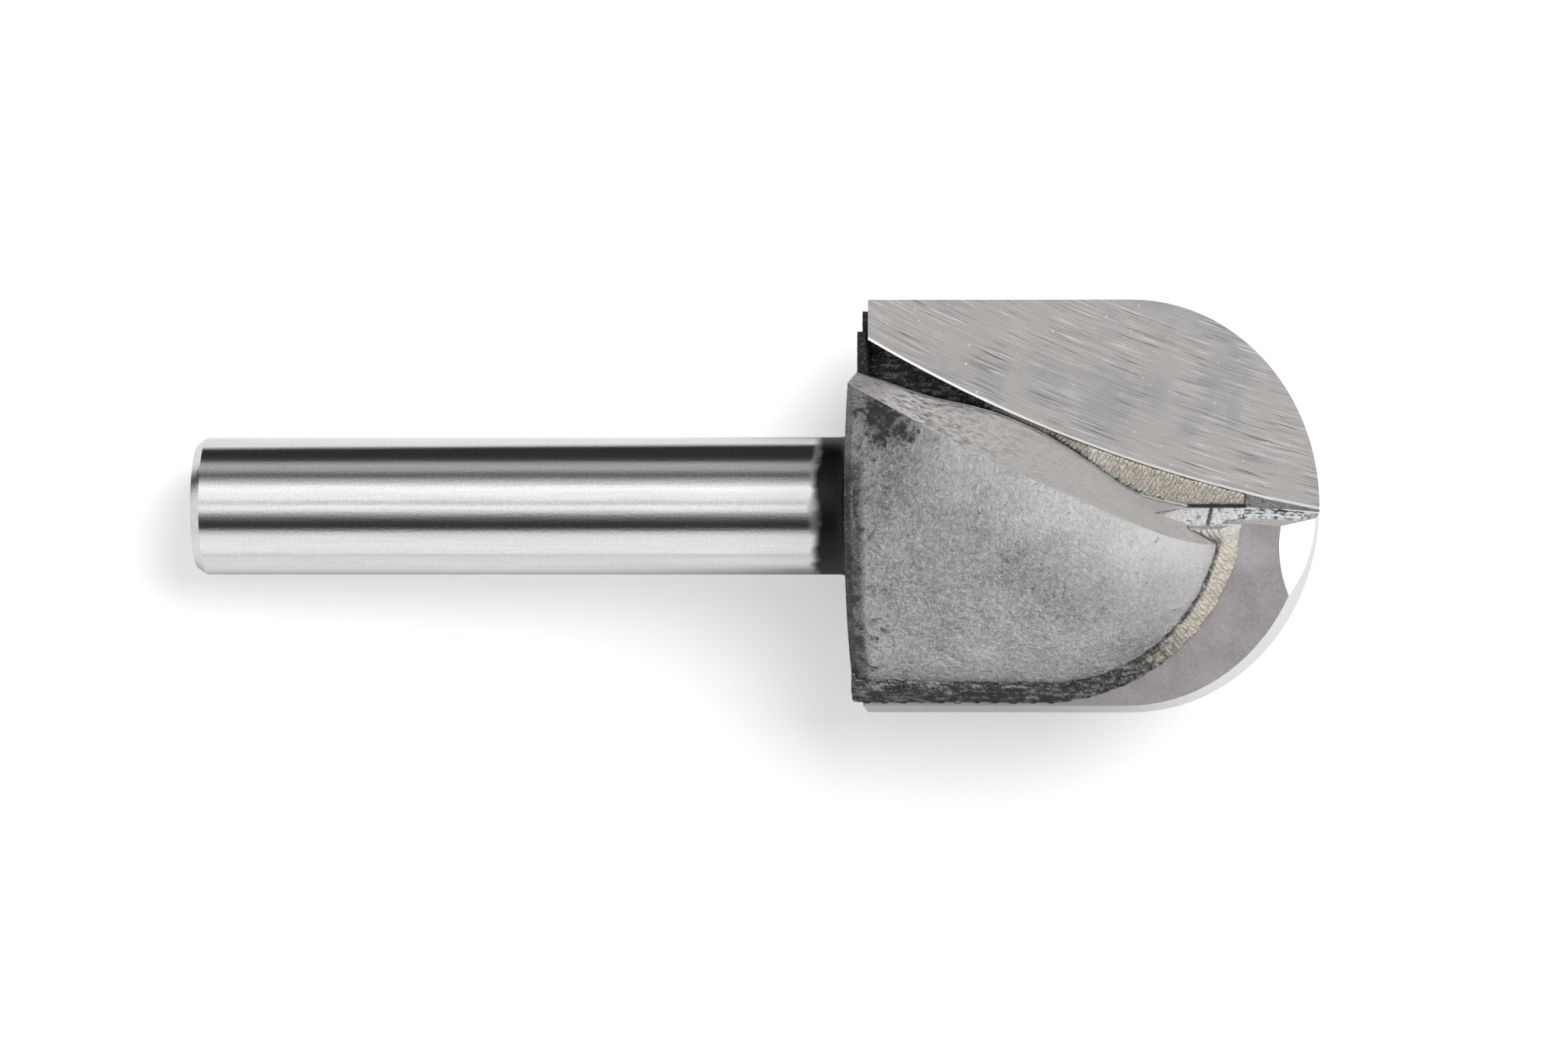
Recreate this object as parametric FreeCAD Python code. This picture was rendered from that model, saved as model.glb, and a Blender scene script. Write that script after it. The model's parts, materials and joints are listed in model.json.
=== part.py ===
import FreeCAD, Part
import math
import os

# Ball nose router bit, two brazed carbide inserts on a turned and milled steel body.
# Everything is first drawn along the bit's own axis: X runs from the shank's end to the nose,
# Y is across the cutting edges and Z is square to the rake faces. lay_down() then tips the
# finished pieces onto the table. All lengths in mm, all angles in degrees.

V = FreeCAD.Vector

# Sizes a buyer would ask for
SHANK_DIAMETER = 6.35
CUT_DIAMETER = 19.05
SHANK_LENGTH = 30.7
OVERALL_LENGTH = 52.1

# Shank and neck
SHANK_CHAMFER_LENGTH = 0.42
SHANK_CHAMFER_DEPTH = 0.3
NECK_FILLET = 0.8

# Head: two heels, each turned about an axis of its own that leans and lies behind the bit's
CORNER_BREAK = 0.35
STEEL_SETBACK = 1.12
HEEL_LEAN = 14.0
HEEL_TAPER = 7.7
HEEL_DROP = 4.55
HEEL_NOSE_INSET = 1.9
HEEL_NOSE_EXTRA = 0.5

# Gullets
GULLET_SLANT = 16.0

# Carbide inserts
INSERT_THICKNESS = 2.2
INSERT_SETBACK = 0.5
INSERT_BACK_HEIGHT = 1.85
NOSE_FLATTENING = 0.825
EDGE_RELIEF = 0.33
TIP_RELIEF = 0.38
WHEEL_RADIUS = 65.0
WHEEL_PASS = 0.17
UNGROUND_RISE = 0.08
NOTCH_FROM_TIP = 3.4
CENTER_PASS = 0.3
CENTER_GAP = 0.05
END_LEAN = 19.0
FACET_WHEEL_RADIUS = 8.0
FACET_ANGLE = 45.0
FACET_FROM_TIP = 1.7
FACET_SIDE = 1.9

# Braze
BRAZE_THICKNESS = 0.12
BRAZE_BEAD = 0.72
BRAZE_NOSE_BEAD = 1.0
BEAD_FROM_TIP = 3.25
BEAD_STRAIGHT = 0.463
BRAZE_SHRINK = 0.14
BRAZE_RAMP = 16.0
BRAZE_RAMP_START = 2.6

# Derived sizes
SHANK_R = SHANK_DIAMETER / 2
CUT_R = CUT_DIAMETER / 2
NOSE_DEPTH = CUT_R - NOSE_FLATTENING
NOSE_START = OVERALL_LENGTH - NOSE_DEPTH
INSERT_BACK = SHANK_LENGTH + INSERT_SETBACK
SEAT = INSERT_THICKNESS + BRAZE_THICKNESS
NOTCH_X = OVERALL_LENGTH - NOTCH_FROM_TIP
STEEL_HALF_WIDTH = CUT_R - STEEL_SETBACK
HEEL_STRAIGHT = NOSE_START - HEEL_NOSE_INSET - SHANK_LENGTH
HEEL_NOSE = NOSE_DEPTH + HEEL_NOSE_EXTRA
LEAN = math.radians(HEEL_LEAN)
TAPER = math.tan(math.radians(HEEL_TAPER))
HEEL_REACH = HEEL_DROP + SEAT
HEEL_RADIUS = (math.hypot(STEEL_HALF_WIDTH, HEEL_REACH * math.cos(LEAN))
               + TAPER * HEEL_REACH * math.sin(LEAN))
SLANT = math.tan(math.radians(GULLET_SLANT))
FAR = 4 * CUT_R


def wire_face(edges):
    return Part.Face(Part.Wire(edges))


def line(a, b):
    return Part.makeLine(V(*a), V(*b))


def curve(points):
    spline = Part.BSplineCurve()
    spline.interpolate([V(*p) for p in points])
    return spline.toShape()


def turned(edges, axis_z=0.0):
    face = wire_face(edges)
    return face.revolve(V(0, 0, axis_z), V(1, 0, 0), 360)


def half_turn(shape):
    other = shape.copy()
    other.rotate(V(0, 0, 0), V(1, 0, 0), 180)
    return other


def nose_curve(center_x, depth, height, z, start=0.0):
    # Elliptical arc from the end of the side round to the nose's tip on the axis
    center = V(center_x, 0, z)
    top = V(center_x, height, z)
    tip = V(center_x + depth, 0, z)
    if height > depth:
        return Part.Ellipse(top, tip, center).toShape(start, math.pi / 2)
    return Part.Ellipse(tip, top, center).toShape(0, math.pi / 2 - start)


# Wheel that grinds the rake faces

def wheel_y(x):
    # Rim of the cup wheel that ground the rake face
    reach = WHEEL_CENTER_X - x
    return WHEEL_CENTER_Y - math.sqrt(WHEEL_RADIUS ** 2 - reach ** 2)


def wheel_center():
    # The rim crosses the insert's back end near the edge and leaves it just past the tip's axis
    first = (INSERT_BACK, CUT_R - INSERT_BACK_HEIGHT)
    last = (OVERALL_LENGTH, -WHEEL_PASS)
    mid = ((first[0] + last[0]) / 2, (first[1] + last[1]) / 2)
    chord = math.hypot(last[0] - first[0], last[1] - first[1])
    rise = math.sqrt(WHEEL_RADIUS ** 2 - chord ** 2 / 4)
    ux = (last[0] - first[0]) / chord
    uy = (last[1] - first[1]) / chord
    return mid[0] - uy * rise, mid[1] + ux * rise


WHEEL_CENTER_X, WHEEL_CENTER_Y = wheel_center()


# Steel body

def shank():
    flat_r = SHANK_R - SHANK_CHAMFER_DEPTH
    fillet_x = SHANK_LENGTH - NECK_FILLET
    fillet_r = SHANK_R + NECK_FILLET
    bend = NECK_FILLET * (1 - math.sqrt(0.5))
    fillet = Part.Arc(
        V(fillet_x, SHANK_R, 0),
        V(SHANK_LENGTH - bend, SHANK_R + bend, 0),
        V(SHANK_LENGTH, fillet_r, 0)).toShape()
    hub_x = SHANK_LENGTH + CORNER_BREAK
    return turned([
        line((0, 0, 0), (0, flat_r, 0)),
        line((0, flat_r, 0), (SHANK_CHAMFER_LENGTH, SHANK_R, 0)),
        line((SHANK_CHAMFER_LENGTH, SHANK_R, 0), (fillet_x, SHANK_R, 0)),
        fillet,
        line((SHANK_LENGTH, fillet_r, 0), (hub_x, fillet_r, 0)),
        line((hub_x, fillet_r, 0), (hub_x, 0, 0)),
        line((hub_x, 0, 0), (0, 0, 0))])


def heel_curve():
    # Nose of the heel: an ellipse that carries on from the tapering straight stretch
    radius = HEEL_RADIUS - TAPER * HEEL_STRAIGHT
    turn = 0.1
    for _ in range(20):
        height = radius / math.cos(turn)
        turn = math.atan(TAPER * HEEL_NOSE / height)
    return HEEL_STRAIGHT - HEEL_NOSE * math.sin(turn), height, turn


def heel():
    # The half of the head in front of the rake plane
    center, height, turn = heel_curve()
    back = -SEAT
    radius = HEEL_RADIUS - TAPER * HEEL_STRAIGHT
    back_radius = HEEL_RADIUS - TAPER * back
    body = turned([
        line((back, 0, 0), (back, back_radius, 0)),
        line((back, back_radius, 0), (HEEL_STRAIGHT, radius, 0)),
        nose_curve(center, HEEL_NOSE, height, 0, turn),
        line((center + HEEL_NOSE, 0, 0), (back, 0, 0))])
    body.rotate(V(0, 0, 0), V(0, 1, 0), -HEEL_LEAN)
    body.translate(V(SHANK_LENGTH, 0, -HEEL_DROP))
    room = Part.makeBox(FAR, 2 * FAR, FAR)
    room.translate(V(SHANK_LENGTH, -FAR, 0))
    body = body.common(room)
    rim = []
    for edge in body.Edges:
        box = edge.BoundBox
        if box.XMax < SHANK_LENGTH + 0.001 and box.ZMax > SEAT:
            rim.append(edge)
    return body.makeChamfer(CORNER_BREAK, rim)


def rest_tilt():
    # The bit lies on its shank's end and on the crest of one heel, nose up
    center, height, turn = heel_curve()
    best = 0
    for i in range(200):
        along = HEEL_STRAIGHT + (i / 200 - 0.5) * HEEL_NOSE
        radius = HEEL_RADIUS - TAPER * along
        if along > HEEL_STRAIGHT:
            radius = height * math.sqrt(1 - ((along - center) / HEEL_NOSE) ** 2)
        x = SHANK_LENGTH + along * math.cos(LEAN) - radius * math.sin(LEAN)
        z = -HEEL_DROP + along * math.sin(LEAN) + radius * math.cos(LEAN)
        best = max(best, math.atan2(z - SHANK_R, x - SHANK_CHAMFER_LENGTH))
    return math.degrees(best)


def gullet_section(z):
    # The wall's foot runs from behind the head to beyond the nose, a little inside the wheel's
    # rim. Each row is a share of the head's length, the gap to the rim and a share of the
    # slant, which steepens where the cutter turns and then flattens towards the nose.
    shape = [(-0.1, 2.4, 0.4), (0.01, 1.72, 0.45), (0.168, 0.98, 0.72), (0.246, 0.5, 0.95),
             (0.505, 0.78, 0.83), (0.62, 1.43, 0.7), (0.72, 1.26, 1.02), (0.85, 1.48, 2.0),
             (1.1, 1.84, 2.6)]
    length = OVERALL_LENGTH - SHANK_LENGTH
    out = max(z, 0) * SLANT
    foot = []
    for share, gap, slant in shape:
        x = SHANK_LENGTH + length * share
        foot.append((x, wheel_y(x) - gap - out * slant, z))
    start = foot[0]
    end = foot[-1]
    top = 2 * CUT_R
    return [curve(foot),
            line(end, (end[0], top, z)),
            line((end[0], top, z), (start[0], top, z)),
            line((start[0], top, z), start)]


def gullet():
    # Open space in front of one rake face, with a slanting wall, and the insert's seat under it,
    # which ends at a thin shoulder behind the insert
    floor = Part.Wire(gullet_section(0))
    roof = Part.Wire(gullet_section(CUT_R))
    space = Part.makeLoft([floor, roof], True, True)
    pocket = wire_face(gullet_section(-SEAT)).extrude(V(0, 0, SEAT))
    wall = INSERT_SETBACK - BRAZE_THICKNESS
    shoulder = Part.makeBox(wall + CUT_R, FAR, SEAT)
    shoulder.translate(V(SHANK_LENGTH - CUT_R, STEEL_HALF_WIDTH - CORNER_BREAK - FAR, -SEAT))
    pocket = pocket.cut(shoulder)
    return space.fuse(pocket)


def steel_body():
    front = heel()
    head = front.fuse(half_turn(front))
    open_front = gullet()
    head = head.cut([open_front, half_turn(open_front)])
    return head.fuse(shank()).removeSplitter()


# Carbide inserts

def profile(back, start, depth, height, foot, z):
    # Outline of the cutting side: back end, straight edge, rounded nose down to the axis
    tip = start + depth
    return [line((back, foot, z), (back, height, z)),
            line((back, height, z), (start, height, z)),
            nose_curve(start, depth, height, z),
            line((tip, 0, z), (tip, foot, z)),
            line((tip, foot, z), (back, foot, z))]


def relieved_blank():
    # The relief falls away from the cutting edge to the insert's back
    foot = -CUT_R / 6
    front = Part.Wire(profile(INSERT_BACK, NOSE_START, NOSE_DEPTH, CUT_R, foot, 0))
    rear = Part.Wire(profile(INSERT_BACK, NOSE_START, NOSE_DEPTH - TIP_RELIEF,
                             CUT_R - EDGE_RELIEF, foot, -INSERT_THICKNESS))
    return Part.makeLoft([rear, front], True, True)


def wheel_side(first, stop, z_low, z_high):
    # What lies beyond the wheel's rim between two places along the bit
    low = -CUT_R / 3
    middle = (first + stop) / 2
    start = V(first, wheel_y(first), z_low)
    end = V(stop, wheel_y(stop), z_low)
    rim = Part.Arc(start, V(middle, wheel_y(middle), z_low), end).toShape()
    edges = [rim, line(tuple(end), (stop, low, z_low)),
             line((stop, low, z_low), (first, low, z_low)),
             line((first, low, z_low), tuple(start))]
    return wire_face(edges).extrude(V(0, 0, z_high - z_low))


def seam_side():
    # The side of the rim where braze fills up against the insert, as far as the notch
    return wheel_side(INSERT_BACK - 1, NOTCH_X, -FAR / 2, FAR / 2)


def end_cut(sign):
    # Sloping end beside the other insert. One insert reaches past the axis, the other stops short.
    lean = math.tan(math.radians(END_LEAN))
    gap = CENTER_GAP / 2
    stretch = 2 * NOTCH_FROM_TIP
    drop = sign * CENTER_PASS * 2
    deep = INSERT_THICKNESS + 1
    start = NOTCH_X - stretch

    def section(x, y):
        high = (x, y - lean, 1)
        low = (x, y + lean * deep, -deep)
        return Part.Wire([
            line(high, low), line(low, (x, -CUT_R, -deep)),
            line((x, -CUT_R, -deep), (x, -CUT_R, 1)), line((x, -CUT_R, 1), high)])

    level = section(start, gap)
    notch = section(NOTCH_X, gap)
    beyond = section(NOTCH_X + stretch, gap - drop)
    first = Part.makeLoft([level, notch], True, True)
    return first.fuse(Part.makeLoft([notch, beyond], True, True))


def tip_facet():
    # Second relief that thins the insert's back near the tip, ground with a small wheel
    angle = math.radians(FACET_ANGLE)
    run = V(math.cos(angle), 0, math.sin(angle))
    side = V(math.sin(angle), 0, -math.cos(angle))
    spot = V(OVERALL_LENGTH - FACET_FROM_TIP, FACET_SIDE, -INSERT_THICKNESS)
    base = spot + side * FACET_WHEEL_RADIUS - run * CUT_R
    return Part.makeCylinder(FACET_WHEEL_RADIUS, 2 * CUT_R, base, run)


def unground_land(sign):
    # The corner that the wheel did not reach stands proud of the ground face
    corner = wheel_side(NOTCH_X, OVERALL_LENGTH + 1, -INSERT_THICKNESS / 4, 1)
    land = relieved_blank().common(corner)
    land.translate(V(0, 0, UNGROUND_RISE))
    return land.cut(end_cut(sign))


def insert(sign):
    body = relieved_blank().cut(seam_side())
    body = body.cut(end_cut(sign))
    body = body.cut(tip_facet())
    return body.fuse(unground_land(sign)).removeSplitter()


# Braze

def bead(z, side, nose):
    # Outline of the bead round the steel, at its root or grown by its width
    length = OVERALL_LENGTH - BEAD_FROM_TIP - INSERT_BACK
    start = INSERT_BACK + BEAD_STRAIGHT * length
    depth = INSERT_BACK + length - BRAZE_NOSE_BEAD + nose - start
    half = STEEL_HALF_WIDTH + side
    return Part.Wire(profile(SHANK_LENGTH, start, depth, half, -CUT_R / 4, z))


def ramp():
    # The fill at the insert's inner edge starts as a slope and then runs level
    z = -BRAZE_SHRINK
    block = Part.makeBox(2 * FAR, 2 * FAR, CUT_R)
    block.translate(V(-FAR, -FAR, 0))
    level = block.copy()
    level.translate(V(0, 0, z))
    block.rotate(V(0, 0, 0), V(0, 1, 0), -BRAZE_RAMP)
    block.translate(V(INSERT_BACK + BRAZE_RAMP_START, 0, -INSERT_THICKNESS))
    return [level, block]


def braze(steel, tip, sign):
    # Thin layer under the insert, a bead round the steel behind it and a fill at its inner edge
    root = bead(-INSERT_THICKNESS - BRAZE_BEAD, 0, 0)
    rim = bead(-INSERT_THICKNESS, BRAZE_BEAD, BRAZE_NOSE_BEAD)
    layer = Part.makeLoft([root, rim], True, True)
    fill = wire_face(gullet_section(-INSERT_THICKNESS)).extrude(V(0, 0, INSERT_THICKNESS))
    fill = fill.common(seam_side())
    fill = fill.cut(ramp())
    seam = layer.fuse(fill).cut([steel, tip, end_cut(sign)])
    solids = sorted(seam.Solids, key=lambda piece: piece.Volume)
    return solids[-1]


def lay_down(pieces):
    # Tip the bit until its shank's end and one heel touch the table, and center it there
    tilt = rest_tilt()
    laid = {}
    for name, shape in pieces.items():
        shape = shape.copy()
        shape.rotate(V(0, 0, 0), V(0, 1, 0), -tilt)
        laid[name] = shape
    box = Part.makeCompound(list(laid.values())).optimalBoundingBox(False, False)
    for shape in laid.values():
        shape.translate(V(-box.Center.x, -box.Center.y, -box.ZMin))
    print("tilt", round(tilt, 3), "shift", -box.Center.x, -box.Center.y, -box.ZMin)
    return laid


def main():
    os.makedirs("parts", exist_ok=True)
    steel = steel_body()
    tips = [insert(1), insert(-1)]
    seams = [braze(steel, tips[0], 1), braze(steel, tips[1], -1)]
    pieces = lay_down({
        "steel_body": steel,
        "carbide_insert_1": tips[0],
        "carbide_insert_2": half_turn(tips[1]),
        "braze_seam_1": seams[0],
        "braze_seam_2": half_turn(seams[1])})
    for name, shape in pieces.items():
        print(name, shape.ShapeType, len(shape.Solids), round(shape.Volume, 2), shape.isValid())
        shape.exportStep("parts/" + name + ".step")


main()
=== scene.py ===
import json
import math
import bpy
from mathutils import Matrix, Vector


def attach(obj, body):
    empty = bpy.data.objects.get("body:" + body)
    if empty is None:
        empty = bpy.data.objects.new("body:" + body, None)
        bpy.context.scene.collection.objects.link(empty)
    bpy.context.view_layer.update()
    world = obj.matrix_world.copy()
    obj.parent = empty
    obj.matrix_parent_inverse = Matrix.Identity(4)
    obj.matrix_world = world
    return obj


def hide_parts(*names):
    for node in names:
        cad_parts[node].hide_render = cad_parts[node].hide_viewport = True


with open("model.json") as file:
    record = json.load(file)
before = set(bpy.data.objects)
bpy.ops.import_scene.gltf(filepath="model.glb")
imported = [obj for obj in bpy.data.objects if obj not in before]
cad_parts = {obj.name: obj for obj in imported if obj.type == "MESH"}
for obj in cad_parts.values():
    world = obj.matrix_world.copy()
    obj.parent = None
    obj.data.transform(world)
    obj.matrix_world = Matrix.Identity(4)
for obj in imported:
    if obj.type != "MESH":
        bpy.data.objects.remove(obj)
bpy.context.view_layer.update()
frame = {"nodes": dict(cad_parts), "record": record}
print("frame loaded")

# The bit lies tilted: its own axis starts at the middle of the shank's end and rises to the nose
shankPin = frame["record"]["mounts"][0]
shankAxis = -Vector(shankPin["axis"])
bitTilt = math.atan2(shankAxis.z, shankAxis.x)
bitAlong = Vector((math.cos(bitTilt), 0, math.sin(bitTilt)))
bitUp = Vector((-math.sin(bitTilt), 0, math.cos(bitTilt)))
mmPerMetre = 1000
shankBevel = 0.00042
halfPin = shankPin["dims"]["length_mm"] / (2 * mmPerMetre)
shankEnd = Vector(shankPin["pos_m"]) - shankAxis * (halfPin + shankBevel)


class Field:
    # A shader socket that takes part in plain expressions
    def __init__(self, shader, socket):
        self.shader = shader
        self.socket = socket

    def math(self, operation, first, second=None):
        values = {0: first} if second is None else {0: first, 1: second}
        return self.shader.node("ShaderNodeMath", {"operation": operation}, values)

    def __add__(self, other):
        return self.math("ADD", self, other)

    def __radd__(self, other):
        return self.math("ADD", other, self)

    def __sub__(self, other):
        return self.math("SUBTRACT", self, other)

    def __rsub__(self, other):
        return self.math("SUBTRACT", other, self)

    def __mul__(self, other):
        return self.math("MULTIPLY", self, other)

    def __truediv__(self, other):
        return self.math("DIVIDE", self, other)

    def __abs__(self):
        return self.math("ABSOLUTE", self)

    def root(self):
        return self.math("SQRT", self)

    def most(self, other):
        return self.math("MAXIMUM", self, other)

    def least(self, other):
        return self.math("MINIMUM", self, other)

    def rise(self, low, high):
        # 0 below low, 1 above high, smooth between; falls instead where low is the larger
        return self.shader.node("ShaderNodeMapRange", {"interpolation_type": "SMOOTHSTEP"}, {
            "Value": self, "From Min": low, "From Max": high, "To Min": 0.0, "To Max": 1.0})

    def between(self, low, high, soft):
        # 1 from low to high, 0 outside, with soft edges
        return self.rise(low - soft, low + soft) * self.rise(high + soft, high - soft)


class Shader:
    def __init__(self, tree):
        self.tree = tree
        tree.nodes.clear()

    def node(self, kind, settings, inputs, output=0):
        made = self.tree.nodes.new(kind)
        for name, value in settings.items():
            setattr(made, name, value)
        for name, value in inputs.items():
            if isinstance(value, Field):
                self.tree.links.new(value.socket, made.inputs[name])
            elif value is not None:
                made.inputs[name].default_value = value
        if output is None:
            return made
        return Field(self, made.outputs[output])

    def parts(self, vector):
        split = self.node("ShaderNodeSeparateXYZ", {}, {0: vector}, None)
        return [Field(self, socket) for socket in split.outputs]

    def vector(self, x, y, z):
        return self.node("ShaderNodeCombineXYZ", {}, {0: x, 1: y, 2: z})

    def noise(self, vector, scale, detail=2.0, rough=0.5, twist=0.0):
        return self.node("ShaderNodeTexNoise", {}, {
            "Vector": vector, "Scale": scale, "Detail": detail, "Roughness": rough,
            "Distortion": twist})

    def mix(self, factor, first, second):
        made = self.node("ShaderNodeMix", {"data_type": "RGBA"}, {}, None)
        for place, value in ((0, factor), (6, first), (7, second)):
            if isinstance(value, Field):
                self.tree.links.new(value.socket, made.inputs[place])
            elif place == 0:
                made.inputs[place].default_value = value
            else:
                made.inputs[place].default_value = (*value, 1.0)
        return Field(self, made.outputs[2])

    def tint(self, color, amount):
        # A colour made lighter or darker by a number field
        scaled = self.vector(amount, amount, amount)
        return self.node("ShaderNodeVectorMath", {"operation": "MULTIPLY"}, {0: color, 1: scaled})

    def ramp(self, value, stops):
        made = self.node("ShaderNodeValToRGB", {}, {0: value}, None)
        keys = made.color_ramp.elements
        while len(keys) < len(stops):
            keys.new(0.5)
        for key, (place, level) in zip(keys, stops):
            key.position = place
            key.color = (*level, 1.0) if isinstance(level, tuple) else (level, level, level, 1.0)
        return Field(self, made.outputs[0])

    def bump(self, height, strength, distance):
        return self.node("ShaderNodeBump", {}, {
            "Strength": strength, "Distance": distance, "Height": height})


def newMaterial(name):
    material = bpy.data.materials.new(name)
    material.use_nodes = True
    return material, Shader(material.node_tree)


def close(shader, color, rough, metal, normal, gloss=0.5):
    surface = shader.node("ShaderNodeBsdfPrincipled", {}, {
        "Base Color": color, "Roughness": rough, "Metallic": metal, "Normal": normal,
        "Specular IOR Level": gloss})
    shader.node("ShaderNodeOutputMaterial", {}, {"Surface": surface}, None)


def bitPlace(shader, flip=1):
    # Place in mm along the bit, across the edges and square to the rake faces
    shift = (-bitAlong.dot(shankEnd) * mmPerMetre, 0, -bitUp.dot(shankEnd) * mmPerMetre)
    here = shader.node("ShaderNodeTexCoord", {}, {}, "Object")
    place = shader.node("ShaderNodeMapping", {"vector_type": "POINT"}, {
        "Vector": here, "Location": shift, "Rotation": (0, bitTilt, 0),
        "Scale": (mmPerMetre, mmPerMetre, mmPerMetre)})
    along, across, above = shader.parts(place)
    return place, along, across * flip, above * flip


def bitNormal(shader, flip=1):
    # The face's direction in the bit's own frame
    out = shader.node("ShaderNodeTexCoord", {}, {}, "Normal")
    turned = shader.node("ShaderNodeMapping", {"vector_type": "POINT"}, {
        "Vector": out, "Rotation": (0, bitTilt, 0)})
    along, across, above = shader.parts(turned)
    return along, across * flip, above * flip


# Steel: ground shank, blackened neck, blasted head with milled gullet walls.
# Places are in mm of the bit: along it from the shank's end, across it, and above its axis.
# A pair is where a mask starts and where it is full, and a center or patch is its place along and
# across. A noise is its scale per mm, detail, roughness and twist.
steelLook = {
    "ground": (0.78, 0.775, 0.77),
    "groundHeatAndShade": (0.50, 0.49, 0.48),
    "heatAndShadeAlong": (24.5, 29.5),
    "scale": (0.003, 0.003, 0.0035),
    "neckStart": 28.95,
    "neckSoft": 0.3,
    "neckRagged": (0.6, 3.0, 0.55),
    "blasted": (0.44, 0.436, 0.434),
    "blastedDark": (0.045, 0.045, 0.047),
    "headStart": 30.55,
    "headSoft": 0.05,
    "pastShank": (3.3, 3.5),
    "backFacing": (-0.6, -0.85),
    "pits": (4.2, 6.0, 0.8),
    "grit": (9.0, 4.0, 0.7),
    "blotch": (2.2, 4.0, 0.66, 0.3),
    "crestHighlightWidth": 0.06,
    "clouds": (0.36, 3.0, 0.55),
    "smear": (1.1, 6.0, 0.75, 0.3),
    "dirtyAlong": (34.2, 31.3),
    "dirtPatch": (32.9, 4.2),
    "dirtPatchReach": (2.0, 0.6),
    "rimAlong": (31.75, 31.35),
    "rimAcross": (2.6, 1.6),
    "ridgeAcross": 17.8,
    "ridgeSlope": 0.40,
    "ridgeLightReach": (5.0, 0.3),
    "ridgeLightAlong": (32.5, 36.0),
    "noseReach": (8.0, 2.0),
    "noseAlong": (38.0, 47.5),
    "milled": (0.445, 0.427, 0.416),
    "wallFacing": (0.5, 0.68),
    "wallFoot": 0.05,
    "wallSpeckAlong": (40.0, 33.0),
    "sootHeight": (0.42, 0.08),
    "sootAlong": (46.2, 45.4),
    "shoulderAlong": (31.6, 31.3),
    "shoulderHeight": (2.6, 2.2),
    "shine": 0.25,
    "bumpStrength": 0.9,
    "bumpDepth": 0.00034,
}


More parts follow.
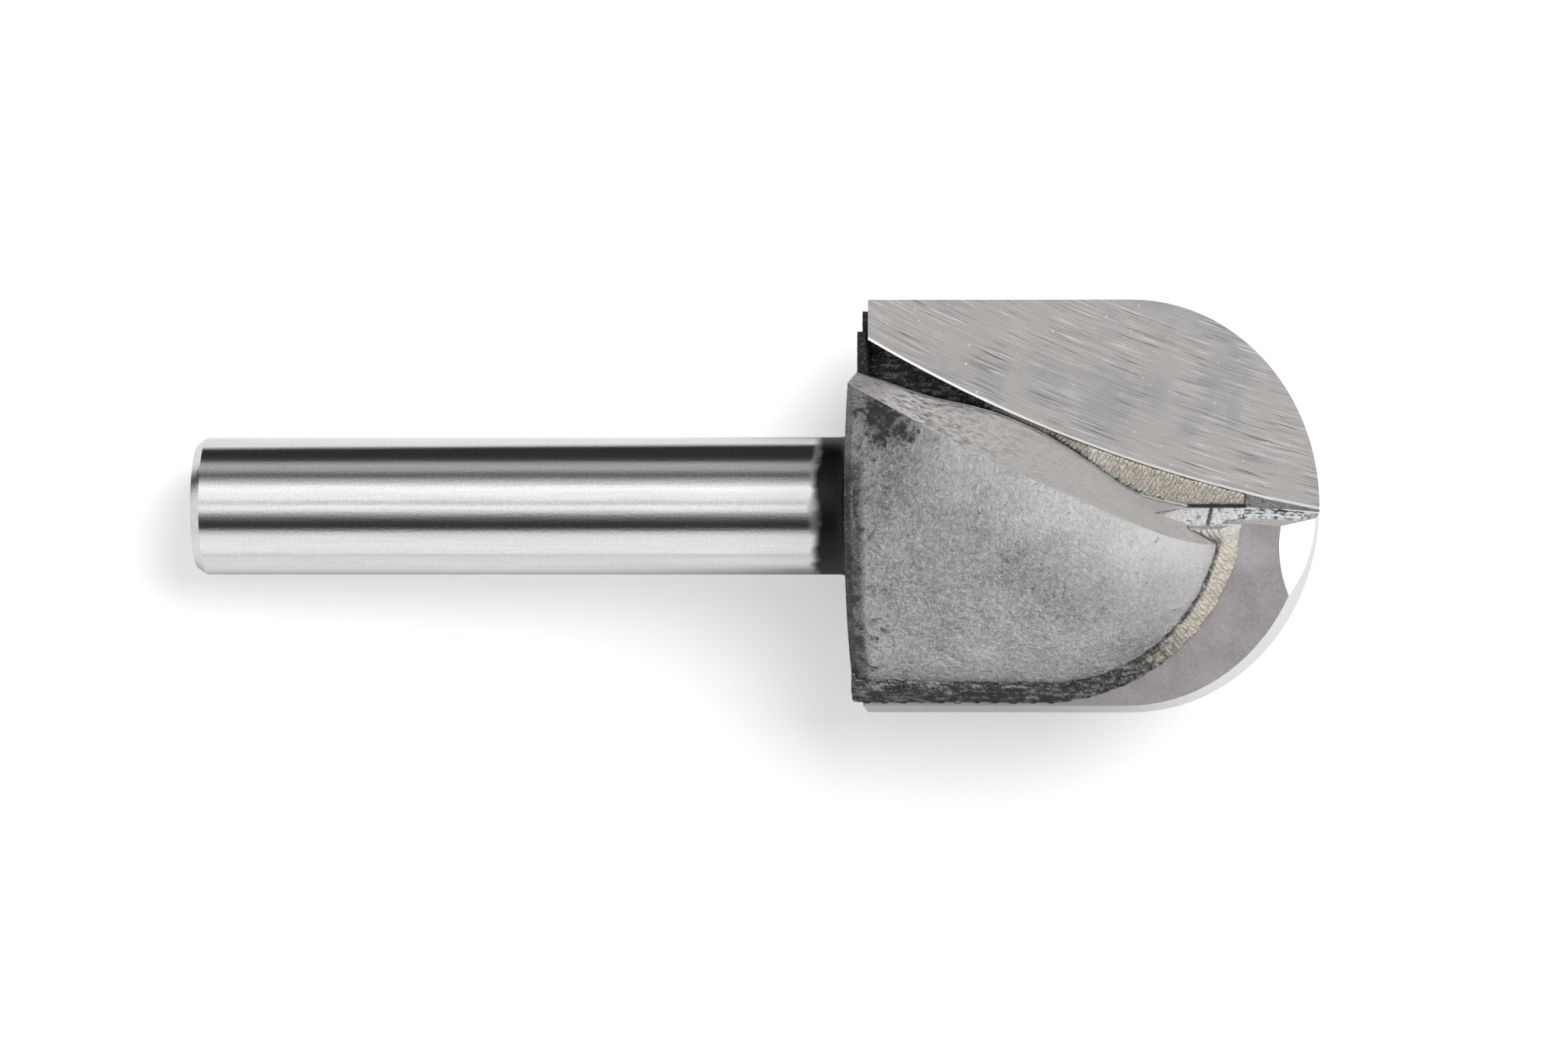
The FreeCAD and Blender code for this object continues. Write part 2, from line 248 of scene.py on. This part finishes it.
def steelMaterial():
    look = steelLook
    material, shader = newMaterial("blastedSteel")
    place, along, across, above = bitPlace(shader)
    faceAlong, faceAcross, _ = bitNormal(shader)
    radius = (across * across + above * above).root()
    side = above.rise(-0.2, 0.2) * 2 - 1
    mirrored = across * side
    height = abs(above)
    headEnd = look["headStart"] + look["headSoft"]
    head = along.rise(look["headStart"], headEnd).most(radius.rise(*look["pastShank"]))
    wall = (faceAcross * side).rise(*look["wallFacing"]) * head * height.rise(0.0, look["wallFoot"])
    backFace = faceAlong.rise(*look["backFacing"]) * head

    # blasted surface: fine pits, clouds, and dirt that gathers near the neck
    pits = shader.noise(place, *look["pits"])
    grit = shader.noise(place, *look["grit"])
    blotch = shader.noise(place, *look["blotch"])
    # painted highlight: thin bright lines where the blotch noise crosses its middle, standing in for
    # light catching the crests of the blasted relief
    crestHighlights = abs(blotch - 0.5).rise(look["crestHighlightWidth"], 0.0)
    clouds = shader.noise(place, *look["clouds"])
    smear = shader.noise(place, *look["smear"])
    nearNeck = along.rise(*look["dirtyAlong"])
    fromPatch = along - look["dirtPatch"][0], mirrored - look["dirtPatch"][1]
    patchRadius = (fromPatch[0] * fromPatch[0] + fromPatch[1] * fromPatch[1] * 0.7).root()
    patch = patchRadius.rise(*look["dirtPatchReach"])
    mottle = (blotch - 0.5) * 2.2 + (pits - 0.5) * 1.8 + (smear - 0.5) * 1.2
    dirt = (nearNeck * 0.42 + patch * 0.95 + mottle * 1.3 - 0.46).rise(0.0, 0.85)
    rim = along.rise(*look["rimAlong"]) * mirrored.rise(*look["rimAcross"])
    dirt = dirt.most(rim * (0.72 + mottle * 0.7)) - rim * grit.rise(0.58, 0.66) * 0.5
    flecks = grit.rise(0.56, 0.66)
    # painted light: the blasted tone is lifted near the ridge and towards the nose, standing in for the
    # key light that falls there
    fromRidge = look["ridgeAcross"] - along * look["ridgeSlope"] - mirrored
    paintedRidgeLight = fromRidge.rise(*look["ridgeLightReach"]) * along.rise(*look["ridgeLightAlong"])
    nose = along.rise(*look["noseAlong"]) * fromRidge.rise(*look["noseReach"])
    speckle = (pits - 0.5) * 1.5 + (grit - 0.5) * 1.6 + (smear - 0.5) * 0.5 + crestHighlights * 0.24 - 0.08
    speckle = speckle * (1 - paintedRidgeLight * 0.2 - nose * 0.4)
    tone = 0.98 + paintedRidgeLight * 0.68 + nose * 0.66 + speckle + (clouds - 0.5) * 0.8
    blasted = shader.tint(look["blasted"], tone)
    blasted = shader.mix(dirt.least(0.92).most(0.0), blasted, look["blastedDark"])

    # milled wall: smooth and a little pink, speckled at the back, with flux along its foot
    lines = shader.noise(shader.vector(along * 0.35, across * 0.35, above * 7.0), 2.0, 2.0, 0.5)
    backSpeck = along.rise(*look["wallSpeckAlong"])
    wallTone = 1 + (lines - 0.5) * 0.3 + mottle * (0.25 + backSpeck * 1.3)
    milled = shader.tint(look["milled"], wallTone)
    footSoot = height.rise(*look["sootHeight"]) * (0.75 + mottle * 1.6)
    footSoot = footSoot * along.rise(*look["sootAlong"])
    soot = footSoot.most((nearNeck * 0.4 + mottle - 0.25).rise(0.0, 0.8))
    milled = shader.mix(soot.least(0.9), milled, look["blastedDark"])

    # the shoulder and the back face are crusted
    headColor = shader.mix(wall, blasted, milled)
    shoulder = along.rise(*look["shoulderAlong"]) * height.rise(*look["shoulderHeight"]) * (1 - wall)
    crust = shader.mix(flecks * 0.75, look["blastedDark"], look["blasted"])
    headColor = shader.mix(shoulder.most(backFace * 0.9), headColor, crust)

    # ground shank, darker towards the blackened neck with its ragged edge: partly heat tint, partly a
    # painted reflection of the head's shadow on the table
    grain = shader.noise(shader.vector(along * 6.0, across * 1.2, above * 1.2), 3.0, 3.0, 0.6)
    streak = shader.noise(shader.vector(along * 0.22, across * 4.5, above * 4.5), 1.0, 3.0, 0.7)
    shade = 1 + (grain - 0.5) * 0.2 + (streak - 0.5) * 0.3 + (grit - 0.5) * 0.35
    ground = shader.tint(look["ground"], shade)
    ground = shader.mix(along.rise(*look["heatAndShadeAlong"]) * 0.35, ground, look["groundHeatAndShade"])
    ragged = shader.noise(place, *look["neckRagged"]) * 1.2 - 0.6
    neckStart, neckSoft = look["neckStart"], look["neckSoft"]
    neck = (along + ragged).rise(neckStart - neckSoft, neckStart + neckSoft)
    color = shader.mix(neck, ground, look["scale"])
    color = shader.mix(head, color, headColor)

    rough = 0.085 + grain * 0.05
    rough = rough + neck * (0.40 - rough)
    rough = rough + head * (0.40 + grit * 0.14 + wall * 0.05 - rough)
    dirtMetal = dirt.least(1.0).most(0.0) * 0.4
    metal = 1 - neck * (1 - head) * 0.9 - head * (dirtMetal + wall * 0.55)
    relief = head * (1 - wall * 0.8) * (blotch * 2.6 + pits * 1.4 + grit * 0.4)
    relief = relief + (1 - head) * (grain * 0.005 + grit * 0.013 + streak * 0.007)
    normal = shader.bump(relief, look["bumpStrength"], look["bumpDepth"])
    close(shader, color, rough, metal, normal, look["shine"])
    return material


# Carbide: ground rake face with arc scratches, rough sintered back, bright relief band.
# A scratch is its lines per mm, its stretch, its place in the noise, detail and roughness.
carbideLook = {
    "ground": (0.372, 0.358, 0.350),
    "cool": (0.338, 0.332, 0.338),
    # colour of the painted highlight along the ground rim
    "rim": (0.95, 0.94, 0.93),
    "relief": (0.80, 0.79, 0.78),
    "sintered": (0.285, 0.268, 0.271),
    "dark": (0.05, 0.05, 0.052),
    "land": (0.19, 0.186, 0.186),
    "flux": (0.80, 0.82, 0.85),
    "wheelCenter": (64.15, 63.70),
    "wheelRadius": 65.0,
    "rakeFacing": (0.9, 0.97),
    "backFacing": (-0.9, -0.97),
    "endFacing": (-0.8, -0.95),
    "scratchCenter": (79.5, 103.0),
    "scratchSweep": (0.93, 0.37),
    "fineScratch": (14.0, 0.30, 0.0, 3.0, 0.75),
    "boldScratch": (5.0, 0.13, 4.0, 3.0, 0.65),
    "brightScratch": (15.0, 0.36, 9.0, 1.0, 0.5),
    "deepScratch": (13.0, 0.30, 17.0, 1.0, 0.5),
    "haze": (0.30, 3.0, 0.6),
    "scratchGroups": (0.48, 2.0, 0.5),
    "dots": (6.0, 0.0, 0.5),
    "dotLevel": (0.82, 0.85),
    "rimHighlightBand": (0.02, 0.12, 0.03),
    "rimAlong": (42.0, 34.0),
    "landInside": (-0.005, -0.02),
    "speck": (6.0, 4.0, 0.7),
    "clouds": (0.8, 3.0, 0.6),
    "patch": (48.7, 2.0),
    "patchReach": (1.7, 0.3),
    "innerAlong": (52.2, 51.4),
    "innerAcross": (0.75, 0.55),
    "glint": (3.2, 3.0, 0.7),
    "bumpStrength": 0.35,
    "bumpDepth": 0.00002,
}


def carbideMaterial(name, flip):
    look = carbideLook
    material, shader = newMaterial(name)
    place, along, across, above = bitPlace(shader, flip)
    faceAlong, _, faceAbove = bitNormal(shader, flip)
    fromWheel = along - look["wheelCenter"][0], across - look["wheelCenter"][1]
    wheelRadius = (fromWheel[0] * fromWheel[0] + fromWheel[1] * fromWheel[1]).root()
    inside = look["wheelRadius"] - wheelRadius
    rake = faceAbove.rise(*look["rakeFacing"])
    back = faceAbove.rise(*look["backFacing"]).most(faceAlong.rise(*look["endFacing"]))

    # arc scratches of the cup wheel
    fromCenter = along - look["scratchCenter"][0], across - look["scratchCenter"][1]
    reach = (fromCenter[0] * fromCenter[0] + fromCenter[1] * fromCenter[1]).root()
    sweep = along * look["scratchSweep"][0] - across * look["scratchSweep"][1]

    def scratches(linesPerMm, stretch, part, detail, rough):
        arcs = shader.vector(reach * linesPerMm, sweep * stretch, part)
        return shader.noise(arcs, 1.0, detail, rough)

    fine = scratches(*look["fineScratch"])
    bold = scratches(*look["boldScratch"])
    bright = scratches(*look["brightScratch"])
    deep = scratches(*look["deepScratch"])
    haze = shader.noise(place, *look["haze"])
    groups = shader.noise(place, *look["scratchGroups"]).rise(0.40, 0.60) * 0.95 + 0.30
    lines = (fine - 0.5) * 0.95 + (bold - 0.5) * 0.40
    lines = lines + bright.rise(0.60, 0.70) * 0.42 - deep.rise(0.60, 0.69) * 0.40
    dots = shader.noise(place, *look["dots"]).rise(*look["dotLevel"])
    rakeColor = shader.mix(haze.rise(0.50, 0.62), look["ground"], look["cool"])
    rakeColor = shader.tint(rakeColor, 1 + lines * groups + (haze - 0.5) * -0.2 + dots * 0.8)

    # painted highlight along the ground rim, where the wheel's worn corner left a small fillet that
    # catches the light, and the darker land that the wheel missed
    paintedRimHighlight = inside.between(*look["rimHighlightBand"]) * (along.rise(*look["rimAlong"]) * 0.5 + 0.42)
    rakeColor = shader.mix(paintedRimHighlight * rake, rakeColor, look["rim"])
    land = inside.rise(*look["landInside"]) * rake
    speck = shader.noise(place, *look["speck"])
    rakeColor = shader.mix(land, rakeColor, shader.tint(look["land"], speck * 2.4 - 0.3))

    # sintered back with a lighter patch, relief band, and flux left on the inner end
    clouds = shader.noise(place, *look["clouds"])
    fromPatch = along - look["patch"][0], across - look["patch"][1]
    patchRadius = (fromPatch[0] * fromPatch[0] + fromPatch[1] * fromPatch[1]).root()
    patch = patchRadius.rise(*look["patchReach"])
    backColor = shader.tint(look["sintered"], 0.38 + speck * 0.6 + clouds * 0.6 + patch * 0.22)
    reliefLines = shader.noise(shader.vector(along * 0.6, across * 0.6, above * 9.0), 1.5, 2.0, 0.5)
    sideColor = shader.tint(look["relief"], 0.94 + reliefLines * 0.12)
    inner = along.rise(*look["innerAlong"]) * across.rise(*look["innerAcross"])
    inner = inner * (1 - rake) * (1 - back)
    glint = shader.noise(place, *look["glint"])
    innerColor = shader.mix(glint.rise(0.42, 0.54), look["dark"], look["flux"])
    sideColor = shader.mix(inner, sideColor, innerColor)
    color = shader.mix(back, sideColor, backColor)
    color = shader.mix(rake, color, rakeColor)

    rough = 0.22 + rake * (0.16 + fine * 0.12) + back * 0.33 + inner * 0.2
    height = rake * (fine + bold * 0.5) + back * speck * 1.2
    normal = shader.bump(height, look["bumpStrength"], look["bumpDepth"])
    close(shader, color, rough, 1.0 - back * 0.25 - inner * 0.6, normal)
    return material


# Braze: silver fill that turns tan, black flux where it starts and along the straight edge
brazeLook = {
    "silver": (0.58, 0.555, 0.51),
    "tan": (0.47, 0.435, 0.37),
    "tanAlong": (39.5, 43.0),
    "flux": (0.010, 0.010, 0.011),
    "fleck": (0.60, 0.59, 0.57),
    "glass": (0.80, 0.82, 0.86),
    "glassDark": (0.17, 0.175, 0.185),
    "smeared": (0.43, 0.42, 0.41),
    "endPaintedLight": (0.74, 0.72, 0.70),
    "lumps": (3.4, 4.0, 0.65),
    "crumbs": (9.0, 4.0, 0.7),
    "fluxAlong": (37.6, 36.2),
    "outerAcross": (4.0, 5.6),
    "outerAlong": (46.6, 43.4),
    "beadEdgeAcross": (0.9, 1.7),
    "beadEdgeAbove": (-2.78, -2.90),
    "beadAbove": (-1.5, -1.9),
    "scallopsPerMm": 30.0,
    "footEnd": 45.6,
    "footCurve": 0.105,
    "footOut": 0.05,
    "footLineAlong": 41.0,
    "footLineAcross": 2.27,
    "footSlope": 0.56,
    "grooveReach": (0.36, 0.20),
    "grooveAlong": (39.5, 45.6, 0.3),
    "grooveAbove": (-1.5, -1.0),
    "paintedSlotLightAlong": (41.5, 38.0),
    "endAcross": (1.0, 0.8),
    "endAlong": (43.5, 44.0),
    "polishedAlong": (45.75, 45.95),
    "tick": 47.12,
    "tickReach": (0.13, 0.05),
    "tickAcross": (0.13, 0.07),
    "smearAcross": (1.8, 1.2),
    "bumpStrength": 0.6,
    "bumpDepth": 0.00007,
}


def brazeMaterial(name, flip):
    look = brazeLook
    material, shader = newMaterial(name)
    place, along, across, above = bitPlace(shader, flip)
    lumps = shader.noise(place, *look["lumps"])
    streak = shader.noise(shader.vector(along * 1.2, across * 5.0, above * 5.0), 1.0, 3.0, 0.6)
    crumbs = shader.noise(place, *look["crumbs"])
    bead = above.rise(*look["beadAbove"])

    # black flux: at the back, along the straight edge, and where the bead meets the steel
    flux = (along + (lumps - 0.5) * 3.0).rise(*look["fluxAlong"])
    outerFlux = (along + (lumps - 0.5) * 5.0).rise(*look["outerAlong"])
    outerFlux = outerFlux * across.rise(*look["outerAcross"])
    edge = across.rise(*look["beadEdgeAcross"]) * above.rise(*look["beadEdgeAbove"])
    outerFlux = outerFlux.most(edge * (crumbs * 1.6 + 0.2))

    # scalloped dark groove where the fill meets the foot of the milled wall
    scallops = shader.node("ShaderNodeMath", {"operation": "SINE"}, {
        0: (along * 0.8 - across * 0.6) * look["scallopsPerMm"] + lumps * 16.0})
    fromEnd = look["footEnd"] - along
    footLine = look["footLineAcross"] + (look["footLineAlong"] - along) * look["footSlope"]
    foot = (look["footOut"] + fromEnd * fromEnd * look["footCurve"]).least(footLine)
    groove = across - foot + scallops * 0.07 + (lumps - 0.5) * 0.5
    groove = groove.rise(*look["grooveReach"]) * 0.9
    groove = groove * along.between(*look["grooveAlong"]) * above.rise(*look["grooveAbove"])
    soot = flux.most(outerFlux).most(groove).least(1.0)

    # the fill itself, silver at the back and tan towards the nose
    turning = (along + (streak - 0.5) * 6.0).rise(*look["tanAlong"])
    color = shader.mix(turning, look["silver"], look["tan"])
    # painted light: the fill is lifted towards the back, where it lies deep in its narrow slot and
    # falls into shade
    tone = 0.98 + along.rise(*look["paintedSlotLightAlong"]) * 0.8 + (lumps - 0.5) * 0.6
    tone = tone + (streak - 0.5) * 0.7 + (crumbs - 0.5) * 0.9
    tone = (tone + scallops * (0.12 - bead * 0.07)) * (0.72 + bead * 0.22)
    color = shader.tint(color, tone)

    # the inner end: painted lighter to make up for the shade on its face, which turns away from the
    # light, then glassy towards the tip, with a dark tick and edge
    _, faceAcross, _ = bitNormal(shader, flip)
    end = faceAcross.rise(-0.5, -0.75) * across.rise(*look["endAcross"]) * along.rise(*look["endAlong"])
    polished = end * along.rise(*look["polishedAlong"])
    tick = abs(along - look["tick"]).rise(*look["tickReach"])
    tick = tick.most(across.rise(*look["tickAcross"])) * (0.5 + crumbs * 0.8)
    glass = shader.mix(lumps.rise(0.38, 0.47), look["glassDark"], look["glass"])
    glass = shader.mix(tick.least(1.0), glass, look["flux"])
    smear = bead * across.rise(*look["smearAcross"])
    crumb = (streak * 0.6 + lumps * 0.4).rise(0.46, 0.66) * 0.45 + crumbs.rise(0.58, 0.66) * 0.45
    crust = shader.mix(crumb, look["flux"], look["fleck"])
    color = shader.mix(soot, color, crust)
    color = shader.mix(smear * 0.8, color, look["smeared"])
    color = shader.mix(end, color, look["endPaintedLight"])
    color = shader.mix(polished, color, glass)
    rough = 0.42 + soot * 0.05 - polished * 0.1
    metal = 0.65 - soot * 0.4 - end * 0.35
    relief = lumps + streak * 0.4 + crumbs * 0.6 + scallops * 0.3
    normal = shader.bump(relief, look["bumpStrength"], look["bumpDepth"])
    close(shader, color, rough, metal, normal)
    return material


def dress(nodeName, material):
    piece = frame["nodes"][nodeName]
    piece.data.materials.clear()
    piece.data.materials.append(material)


dress("steel_body", steelMaterial())
dress("carbide_insert_1", carbideMaterial("groundCarbide1", 1))
dress("carbide_insert_2", carbideMaterial("groundCarbide2", -1))
print("metal dressed")

# Braze as it flowed: the seam's solid, remeshed finely and pushed into ripples
rippleShape = {
    "mergeWithin": 0.000002,
    "grain": 0.00009,
    "soften": 3,
    "coarse": 0.0009,
    "coarseDepth": 0.00006,
    "fine": 0.00028,
    "fineDepth": 0.00005,
}


def rippledBraze(nodeName, pieceName, material):
    seam = frame["nodes"][nodeName]
    bpy.ops.object.select_all(action="DESELECT")
    piece = bpy.data.objects.new(pieceName, seam.data.copy())
    bpy.context.collection.objects.link(piece)
    bpy.context.view_layer.objects.active = piece
    piece.select_set(True)
    bpy.ops.object.mode_set(mode="EDIT")
    bpy.ops.mesh.select_all(action="SELECT")
    bpy.ops.mesh.remove_doubles(threshold=rippleShape["mergeWithin"])
    bpy.ops.object.mode_set(mode="OBJECT")
    remesh = piece.modifiers.new("grain", "REMESH")
    remesh.mode = "VOXEL"
    remesh.voxel_size = rippleShape["grain"]
    bpy.ops.object.modifier_apply(modifier="grain")
    soften = piece.modifiers.new("soften", "SMOOTH")
    soften.iterations = rippleShape["soften"]
    bpy.ops.object.modifier_apply(modifier="soften")
    for name in ("coarse", "fine"):
        pattern = bpy.data.textures.new(pieceName + name, "CLOUDS")
        pattern.noise_scale = rippleShape[name]
        ripple = piece.modifiers.new(name, "DISPLACE")
        ripple.texture = pattern
        ripple.texture_coords = "LOCAL"
        ripple.strength = rippleShape[name + "Depth"]
        ripple.mid_level = 0.5
        bpy.ops.object.modifier_apply(modifier=name)
    bpy.ops.object.shade_smooth()
    piece.data.materials.clear()
    piece.data.materials.append(material)
    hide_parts(nodeName)
    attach(piece, "root")
    print(pieceName, len(piece.data.polygons), "faces")


rippledBraze("braze_seam_1", "brazeFill1", brazeMaterial("silverBraze1", 1))
rippledBraze("braze_seam_2", "brazeFill2", brazeMaterial("silverBraze2", -1))
print("braze rippled")


# Flux that fills the slit between the two seams, in the bit's own millimetres
slit = {
    "along": (45.9, 48.75),
    "across": (-0.09, 0.09),
    "above": (-1.5, -0.5),
    "color": (0.12, 0.112, 0.10),
    "roughness": 0.6,
}


def slitFlux():
    bpy.ops.object.select_all(action="DESELECT")
    middle = [(slit[side][0] + slit[side][1]) / 2 for side in ("along", "across", "above")]
    size = [slit[side][1] - slit[side][0] for side in ("along", "across", "above")]
    bpy.ops.mesh.primitive_cube_add(size=1 / mmPerMetre)
    piece = bpy.context.object
    piece.name = "slitFlux"
    piece.scale = size
    fromShankEnd = shankAxis * middle[0] + Vector((0, 1, 0)) * middle[1] + bitUp * middle[2]
    piece.rotation_euler = (0, -bitTilt, 0)
    piece.location = shankEnd + fromShankEnd / mmPerMetre
    bpy.ops.object.transform_apply(location=True, rotation=True, scale=True)
    material, shader = newMaterial("slitFlux")
    close(shader, (*slit["color"], 1.0), slit["roughness"], 0.0, None)
    piece.data.materials.append(material)
    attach(piece, "root")


slitFlux()
print("slit filled")


# Studio: white table, strip lights and dark cards that the ground shank mirrors
studio = {
    "tableSize": 3.0,
    "tableWhite": 0.80,
    "tableGlow": 0.45,
    "tableGlowColor": (0.97, 0.985, 1.0, 1.0),
    "tableMirrored": 0.84,
    "cardEdge": (0.0112, 0.0150),
    "cardColor": (0.03, 0.03, 0.03),
    "keyDirection": (0.44, 0.40, 0.80),
    "keyDistance": 0.50,
    "keySize": 0.42,
    "keyPower": 2.1,
    "ambient": 0.50,
    "ambientLean": (0.8, 0.6),
    "ambientCool": 1.04,
    "endsStart": (0.38, 0.75),
    "endsLevel": 0.85,
    "noseSide": 1.05,
    "noseTurn": (-0.3, 0.3),
    # degrees round the bit, from straight down over the near side to straight up at 0 and on
    # over the far side, and the brightness there
    "strips": [(-180, 0.70), (-75, 1.0), (-55, 0.93), (-48, 0.80), (-44, 0.42), (-40, 0.06),
               (-34, 0.03), (-26, 0.06), (-20, 0.17), (-14, 0.42), (-6, 1.06), (0, 1.18),
               (5, 0.44), (9, 1.02), (22, 1.12), (30, 1.30), (36, 0.95), (40, 0.62), (46, 0.42),
               (50, 0.18), (54, 0.09), (60, 0.26), (65, 0.46), (77, 0.44), (83, 0.06),
               (112, 0.04), (122, 0.5), (128, 0.85), (180, 0.70)],
}


def softTable():
    bpy.ops.object.select_all(action="DESELECT")
    bpy.ops.mesh.primitive_plane_add(size=studio["tableSize"], location=(0, 0, 0))
    table = bpy.context.object
    table.name = "table"
    material, shader = newMaterial("whiteTable")
    view = shader.node("ShaderNodeLightPath", {}, {}, "Is Camera Ray")
    mirror = shader.node("ShaderNodeLightPath", {}, {}, "Is Glossy Ray")
    here = shader.node("ShaderNodeTexCoord", {}, {}, "Object")
    _, y, _ = shader.parts(here)
    card = mirror * y.rise(*studio["cardEdge"])
    white = studio["tableWhite"]
    mirrored = studio["tableMirrored"]
    color = shader.mix(mirror, (white, white, white), (mirrored, mirrored, mirrored))
    color = shader.mix(card, color, studio["cardColor"])
    surface = shader.node("ShaderNodeBsdfDiffuse", {}, {"Color": color})
    glow = shader.node("ShaderNodeEmission", {}, {
        "Color": studio["tableGlowColor"], "Strength": view * studio["tableGlow"]})
    both = shader.node("ShaderNodeAddShader", {}, {0: surface, 1: glow})
    shader.node("ShaderNodeOutputMaterial", {}, {"Surface": both}, None)
    table.data.materials.append(material)


def studioWorld():
    world = bpy.data.worlds.new("studio")
    bpy.context.scene.world = world
    world.use_nodes = True
    shader = Shader(world.node_tree)
    here = shader.node("ShaderNodeTexCoord", {}, {}, "Generated")
    x, y, z = shader.parts(here)
    # angle round the bit's length, 0 to 1
    angle = shader.node("ShaderNodeMath", {"operation": "ARCTAN2"}, {0: y, 1: z})
    turn = angle / (2 * math.pi) + 0.5
    level = shader.ramp(turn, [((degrees + 180) / 360, value) for degrees, value in studio["strips"]])
    ends = abs(x).rise(*studio["endsStart"])
    endLight = studio["endsLevel"] + x.rise(*studio["noseTurn"]) * studio["noseSide"]
    level = shader.mix(ends, level, endLight)
    path = shader.node("ShaderNodeLightPath", {}, {}, None)
    camera = Field(shader, path.outputs["Is Camera Ray"])
    mirror = Field(shader, path.outputs["Is Glossy Ray"])
    lean = studio["ambientLean"]
    ambient = ((x * lean[0] + y * lean[1] + 1) * studio["ambient"]).most(0.0)
    ambientColor = shader.vector(ambient, ambient, ambient * studio["ambientCool"])
    color = shader.mix(mirror, ambientColor, level)
    color = shader.mix(camera, color, (1.0, 1.0, 1.0))
    back = shader.node("ShaderNodeBackground", {}, {"Color": color, "Strength": 1.0})
    shader.node("ShaderNodeOutputWorld", {}, {"Surface": back}, None)


def keyLight():
    toward = Vector(studio["keyDirection"]).normalized()
    lamp = bpy.data.lights.new("softKey", "AREA")
    lamp.shape = "DISK"
    lamp.size = studio["keySize"]
    lamp.energy = studio["keyPower"]
    lamp.use_shadow = True
    light = bpy.data.objects.new("softKey", lamp)
    bpy.context.collection.objects.link(light)
    light.location = toward * studio["keyDistance"]
    light.rotation_euler = toward.to_track_quat("Z", "Y").to_euler()


softTable()
studioWorld()
keyLight()
print("studio lit")

# Camera straight above, as far away as the photograph's perspective asks
lens = {
    "x": 0.001398,
    "y": -0.000766,
    "height": 0.700,
    "pixelsPerMm": 27.82,
    "planeHeight": 0.007,
    "imageWidth": 2013,
    "sensor": 36.0,
    "nearest": 0.01,
    "farthest": 50,
}


def topCamera():
    camera = bpy.data.cameras.new("camera")
    camera.sensor_width = lens["sensor"]
    distance = (lens["height"] - lens["planeHeight"]) * mmPerMetre
    focal = lens["pixelsPerMm"] * distance
    camera.lens = focal * lens["sensor"] / lens["imageWidth"]
    camera.clip_start = lens["nearest"]
    camera.clip_end = lens["farthest"]
    holder = bpy.data.objects.new("camera", camera)
    bpy.context.collection.objects.link(holder)
    holder.location = (lens["x"], lens["y"], lens["height"])
    bpy.context.scene.camera = holder


topCamera()
bpy.context.scene.view_settings.view_transform = "Standard"
print("camera set")
